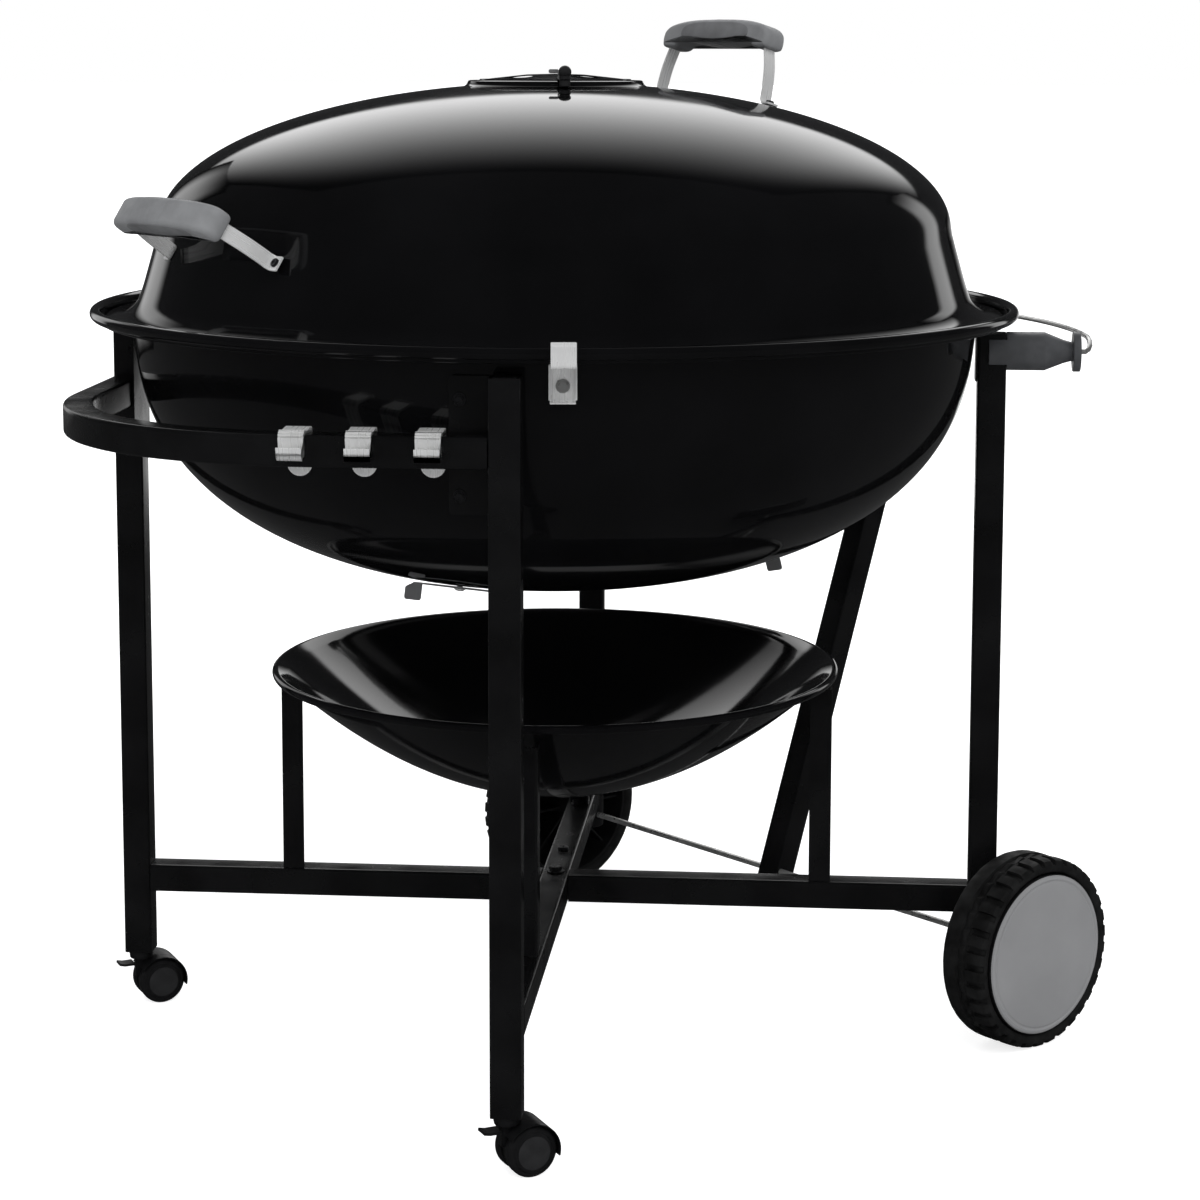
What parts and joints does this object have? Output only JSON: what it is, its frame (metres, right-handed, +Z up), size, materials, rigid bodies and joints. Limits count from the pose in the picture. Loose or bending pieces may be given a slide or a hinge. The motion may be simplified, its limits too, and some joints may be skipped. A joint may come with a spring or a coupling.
{
  "type": "kettle charcoal grill",
  "caption": "Large round kettle charcoal grill on a square-tube frame with a tow handle, rear wheels, front casters, lid rest, ash dish and a lift-off domed lid.",
  "frame": {"origin": "middle of the footprint's bounding box, on the floor", "axes": "+Z up, +X towards the leg that carries the right wheel, +Y towards the leg that carries the back wheel; the front caster leg is at -Y"},
  "size_m": [1.0875, 1.0901, 1.0854],
  "materials": {
    "black_enamel": "porcelain enamel, deep gloss",
    "black_paint": "powder coat, satin gloss",
    "plated_steel": "bright plated, brushed",
    "aluminium": "satin",
    "grey_nylon": "fine moulded texture",
    "dark_nylon": "satin moulded",
    "black_plastic": "satin moulded",
    "tyre_rubber": "matte, treaded",
    "cap_grey": "smooth matte"
  },
  "bodies": {
    "frame": {"bowl": "black_enamel", "leg_left": "black_paint", "leg_front": "black_paint", "leg_right": "black_paint", "leg_back": "black_paint", "crossbar_front_back": "black_paint", "crossbar_left": "black_paint", "crossbar_right": "black_paint", "centre_bolt": "black_paint", "ash_post_left": "black_paint", "ash_post_front": "black_paint", "ash_post_right": "black_paint", "ash_post_back": "black_paint", "tow_handle": "black_paint", "lid_rest_strut": "black_paint", "bowl_bracket_left": "black_paint", "bowl_bracket_front": "black_paint", "bowl_bracket_right": "black_paint", "bowl_bracket_back": "black_paint", "cooking_grate": "plated_steel", "charcoal_grate": "plated_steel", "axle": "plated_steel", "tool_hook_1": "plated_steel", "tool_hook_2": "plated_steel", "tool_hook_3": "plated_steel", "lid_rest_wire": "plated_steel", "wire_clip": "plated_steel", "rim_clip": "plated_steel", "damper_rivet_left": "plated_steel", "damper_rivet_right": "plated_steel", "damper_rivet_back": "plated_steel", "lid_rest_spool_right": "dark_nylon", "lid_rest_spool_back": "dark_nylon", "axle_block_right": "black_plastic", "axle_block_back": "black_plastic"},
    "lid": {"lid": "black_enamel", "top_handle_grip": "grey_nylon", "top_handle_strap_left": "plated_steel", "top_handle_strap_right": "plated_steel", "side_handle_grip": "grey_nylon", "side_handle_strap_left": "plated_steel", "side_handle_strap_right": "plated_steel"},
    "lid_vent": {"lid_vent_disc": "black_enamel", "lid_vent_knob": "black_plastic"},
    "damper_left": {"bottom_damper_left": "aluminium"},
    "damper_right": {"bottom_damper_right": "aluminium"},
    "damper_back": {"bottom_damper_back": "aluminium"},
    "flap_left": {"grate_flap_left": "plated_steel"},
    "flap_right": {"grate_flap_right": "plated_steel"},
    "ash_catcher": {"ash_catcher": "black_enamel"},
    "wheel_right": {"wheel_right": "cap_grey", "tyre_right": "tyre_rubber"},
    "wheel_back": {"wheel_back": "cap_grey", "tyre_back": "tyre_rubber"},
    "caster_left": {"caster_housing_left": "black_plastic"},
    "caster_front": {"caster_housing_front": "black_plastic"},
    "caster_wheels_left": {"caster_wheels_left": "black_plastic"},
    "caster_wheels_front": {"caster_wheels_front": "black_plastic"},
    "brake_left": {"caster_brake_left": "black_plastic"},
    "brake_front": {"caster_brake_front": "black_plastic"}
  },
  "joints": [
    {"name": "lid_lift", "type": "slide", "parent": "frame", "child": "lid", "axis": [0, 0, 1], "range_m": [0, 0.35]},
    {"name": "lid_vent_turn", "type": "hinge", "parent": "lid", "child": "lid_vent", "pos_m": [-0.0535, -0.0523, 1.022], "axis": [0, 0, 1], "range_deg": [0, 45]},
    {"name": "damper_left_turn", "type": "hinge", "parent": "frame", "child": "damper_left", "pos_m": [-0.1347, -0.22408, 0.50785], "axis": [-0.0964, -0.2039, -0.9742], "range_deg": [0, 45]},
    {"name": "damper_right_turn", "type": "hinge", "parent": "frame", "child": "damper_right", "pos_m": [0.13586, -0.03673, 0.50785], "axis": [0.2248, 0.0185, -0.9742], "range_deg": [0, 45]},
    {"name": "damper_back_turn", "type": "hinge", "parent": "frame", "child": "damper_back", "pos_m": [-0.16166, 0.10391, 0.50785], "axis": [-0.1284, 0.1854, -0.9742], "range_deg": [0, 45]},
    {"name": "flap_left_hinge", "type": "hinge", "parent": "frame", "child": "flap_left", "pos_m": [-0.3035, -0.0523, 0.7634], "axis": [0, 1, 0], "range_deg": [0, 90]},
    {"name": "flap_right_hinge", "type": "hinge", "parent": "frame", "child": "flap_right", "pos_m": [0.1965, -0.0523, 0.7634], "axis": [0, -1, 0], "range_deg": [0, 90]},
    {"name": "ash_catcher_lift", "type": "slide", "parent": "frame", "child": "ash_catcher", "axis": [0, 0, 1], "range_m": [0, 0.06]},
    {"name": "wheel_right_spin", "type": "hinge", "parent": "frame", "child": "wheel_right", "pos_m": [0.4095, -0.0523, 0.102], "axis": [0.7071, -0.7071, 0], "continuous": true},
    {"name": "wheel_back_spin", "type": "hinge", "parent": "frame", "child": "wheel_back", "pos_m": [-0.0535, 0.4107, 0.102], "axis": [-0.7071, 0.7071, 0], "continuous": true},
    {"name": "caster_left_swivel", "type": "hinge", "parent": "frame", "child": "caster_left", "pos_m": [-0.5165, -0.0523, 0.055], "axis": [0, 0, 1], "continuous": true},
    {"name": "caster_left_roll", "type": "hinge", "parent": "caster_left", "child": "caster_wheels_left", "pos_m": [-0.50005, -0.0428, 0.025], "axis": [-0.5, 0.866, 0], "continuous": true},
    {"name": "caster_left_brake", "type": "hinge", "parent": "caster_left", "child": "brake_left", "pos_m": [-0.52464, -0.057, 0.0465], "axis": [0.5, -0.866, 0], "range_deg": [0, 15]},
    {"name": "caster_front_swivel", "type": "hinge", "parent": "frame", "child": "caster_front", "pos_m": [-0.0535, -0.5153, 0.055], "axis": [0, 0, 1], "continuous": true},
    {"name": "caster_front_roll", "type": "hinge", "parent": "caster_front", "child": "caster_wheels_front", "pos_m": [-0.03705, -0.5058, 0.025], "axis": [-0.5, 0.866, 0], "continuous": true},
    {"name": "caster_front_brake", "type": "hinge", "parent": "caster_front", "child": "brake_front", "pos_m": [-0.06164, -0.52, 0.0465], "axis": [0.5, -0.866, 0], "range_deg": [0, 15]}
  ]
}
